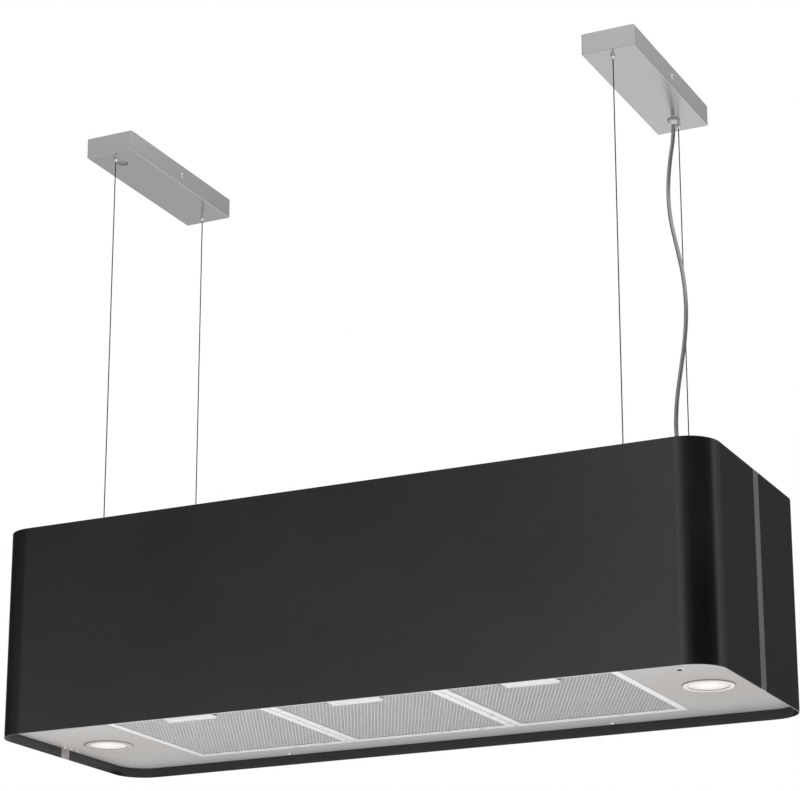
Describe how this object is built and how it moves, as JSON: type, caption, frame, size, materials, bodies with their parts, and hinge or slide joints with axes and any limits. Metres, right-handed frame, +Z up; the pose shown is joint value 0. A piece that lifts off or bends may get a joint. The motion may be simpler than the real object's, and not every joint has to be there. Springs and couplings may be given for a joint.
{
  "type": "island range hood",
  "caption": "Black box-shaped extractor hood that hangs from the ceiling on wires, with tilting grease filters, lamps, push buttons and a blower inside",
  "frame": {"origin": "on the ceiling, midway between the two ceiling boxes and midway along their wires' spacing", "axes": "+X along the body to the right as seen from the front, +Y to the rear, +Z up; the front faces -Y"},
  "size_m": [1.08, 0.378, 0.914],
  "materials": {
    "black_paint": "satin black stove enamel",
    "bright_trim": "satin brushed along its length",
    "galvanised_sheet": "matt galvanised",
    "outlet_grille": "satin black",
    "stainless_panel": "fine brushed along its length",
    "screw_steel": "turned",
    "filter_frame": "satin rolled",
    "filter_mesh": "bright expanded mesh in layers",
    "latch": "polished",
    "spring_steel": "bright spring strip",
    "lamp_ring": "polished",
    "lamp_glass": "frosted",
    "lamp_body": "die cast",
    "charcoal_cartridge": "moulded",
    "brushed_cover": "brushed across its width",
    "button_steel": "polished",
    "switch_plastic": "moulded",
    "sensor_ring": "satin",
    "sensor_window": "dark translucent",
    "motor_paint": "grey enamel",
    "impeller_plastic": "moulded",
    "control_plastic": "moulded",
    "ferrule_steel": "nickel plated",
    "wire_steel": "stranded wire rope",
    "terminal_plastic": "moulded",
    "cable_fittings": "moulded",
    "cable_sheath": "smooth clear grey sheath"
  },
  "bodies": {
    "hood": {"blower_casing": "galvanised_sheet", "blower_cover": "galvanised_sheet", "body_screws": "screw_steel", "cable_bush": "cable_fittings", "cable_gland": "cable_fittings", "ceiling_bracket_left": "galvanised_sheet", "ceiling_bracket_right": "galvanised_sheet", "ceiling_cover_left": "brushed_cover", "ceiling_cover_right": "brushed_cover", "control_box": "control_plastic", "cover_screws": "screw_steel", "end_trim_left": "bright_trim", "end_trim_right": "bright_trim", "fan_motor": "motor_paint", "filter_cross_bars": "galvanised_sheet", "filter_hinge_lugs": "galvanised_sheet", "front_shell": "black_paint", "lamp_bezel_left": "lamp_ring", "lamp_bezel_right": "lamp_ring", "lamp_housing_left": "lamp_body", "lamp_housing_right": "lamp_body", "lamp_lens_left": "lamp_glass", "lamp_lens_right": "lamp_glass", "outlet_grille": "outlet_grille", "panel_rail_front": "galvanised_sheet", "panel_rail_rear": "galvanised_sheet", "power_cable": "cable_sheath", "rear_shell": "black_paint", "sensor_bezel": "sensor_ring", "sensor_window": "sensor_window", "suspension_wires": "wire_steel", "switch_block": "switch_plastic", "terminal_block": "terminal_plastic", "top_deck": "galvanised_sheet", "underside_panel": "stainless_panel", "wire_ferrules": "ferrule_steel", "wire_grippers": "ferrule_steel"},
    "filter_left": {"filter_frame_left": "filter_frame", "filter_mesh_left": "filter_mesh", "latch_spring_left": "spring_steel"},
    "latch_left": {"filter_latch_left": "latch"},
    "filter_centre": {"filter_frame_centre": "filter_frame", "filter_mesh_centre": "filter_mesh", "latch_spring_centre": "spring_steel"},
    "latch_centre": {"filter_latch_centre": "latch"},
    "filter_right": {"filter_frame_right": "filter_frame", "filter_mesh_right": "filter_mesh", "latch_spring_right": "spring_steel"},
    "latch_right": {"filter_latch_right": "latch"},
    "button_1": {"push_button_1": "button_steel"},
    "button_2": {"push_button_2": "button_steel"},
    "button_3": {"push_button_3": "button_steel"},
    "collar_front_left": {"release_collar_front_left": "ferrule_steel"},
    "collar_rear_left": {"release_collar_rear_left": "ferrule_steel"},
    "collar_front_right": {"release_collar_front_right": "ferrule_steel"},
    "collar_rear_right": {"release_collar_rear_right": "ferrule_steel"},
    "fan": {"impeller": "impeller_plastic", "motor_shaft": "screw_steel"},
    "charcoal_left": {"charcoal_cartridge_left": "charcoal_cartridge"},
    "charcoal_right": {"charcoal_cartridge_right": "charcoal_cartridge"}
  },
  "joints": [
    {"name": "filter_tilt_left", "type": "hinge", "parent": "hood", "child": "filter_left", "pos_m": [-0.2588, 0.132, -0.8955], "axis": [1, 0, 0], "range_deg": [0, 75]},
    {"name": "latch_pull_left", "type": "slide", "parent": "filter_left", "child": "latch_left", "axis": [0, 1, 0], "range_m": [0, 0.006], "stiffness_N_per_m": 500, "deforming": ["latch_spring_left"]},
    {"name": "filter_tilt_centre", "type": "hinge", "parent": "hood", "child": "filter_centre", "pos_m": [0, 0.132, -0.8955], "axis": [1, 0, 0], "range_deg": [0, 75]},
    {"name": "latch_pull_centre", "type": "slide", "parent": "filter_centre", "child": "latch_centre", "axis": [0, 1, 0], "range_m": [0, 0.006], "stiffness_N_per_m": 500, "deforming": ["latch_spring_centre"]},
    {"name": "filter_tilt_right", "type": "hinge", "parent": "hood", "child": "filter_right", "pos_m": [0.2588, 0.132, -0.8955], "axis": [1, 0, 0], "range_deg": [0, 75]},
    {"name": "latch_pull_right", "type": "slide", "parent": "filter_right", "child": "latch_right", "axis": [0, 1, 0], "range_m": [0, 0.006], "stiffness_N_per_m": 500, "deforming": ["latch_spring_right"]},
    {"name": "button_press_1", "type": "slide", "parent": "hood", "child": "button_1", "axis": [0, 0, 1], "range_m": [0, 0.002], "stiffness_N_per_m": 400},
    {"name": "button_press_2", "type": "slide", "parent": "hood", "child": "button_2", "axis": [0, 0, 1], "range_m": [0, 0.002], "stiffness_N_per_m": 400},
    {"name": "button_press_3", "type": "slide", "parent": "hood", "child": "button_3", "axis": [0, 0, 1], "range_m": [0, 0.002], "stiffness_N_per_m": 400},
    {"name": "collar_press_front_left", "type": "slide", "parent": "hood", "child": "collar_front_left", "axis": [0, 0, -1], "range_m": [0, 0.003], "stiffness_N_per_m": 800},
    {"name": "collar_press_rear_left", "type": "slide", "parent": "hood", "child": "collar_rear_left", "axis": [0, 0, -1], "range_m": [0, 0.003], "stiffness_N_per_m": 800},
    {"name": "collar_press_front_right", "type": "slide", "parent": "hood", "child": "collar_front_right", "axis": [0, 0, -1], "range_m": [0, 0.003], "stiffness_N_per_m": 800},
    {"name": "collar_press_rear_right", "type": "slide", "parent": "hood", "child": "collar_rear_right", "axis": [0, 0, -1], "range_m": [0, 0.003], "stiffness_N_per_m": 800},
    {"name": "fan_spin", "type": "hinge", "parent": "hood", "child": "fan", "pos_m": [0, -0.01241, -0.76351], "axis": [1, 0, 0], "continuous": true},
    {"name": "charcoal_twist_left", "type": "hinge", "parent": "hood", "child": "charcoal_left", "pos_m": [0, -0.01241, -0.76351], "axis": [1, 0, 0], "range_deg": [0, 20]},
    {"name": "charcoal_twist_right", "type": "hinge", "parent": "hood", "child": "charcoal_right", "pos_m": [0, -0.01241, -0.76351], "axis": [1, 0, 0], "range_deg": [0, 20]}
  ]
}
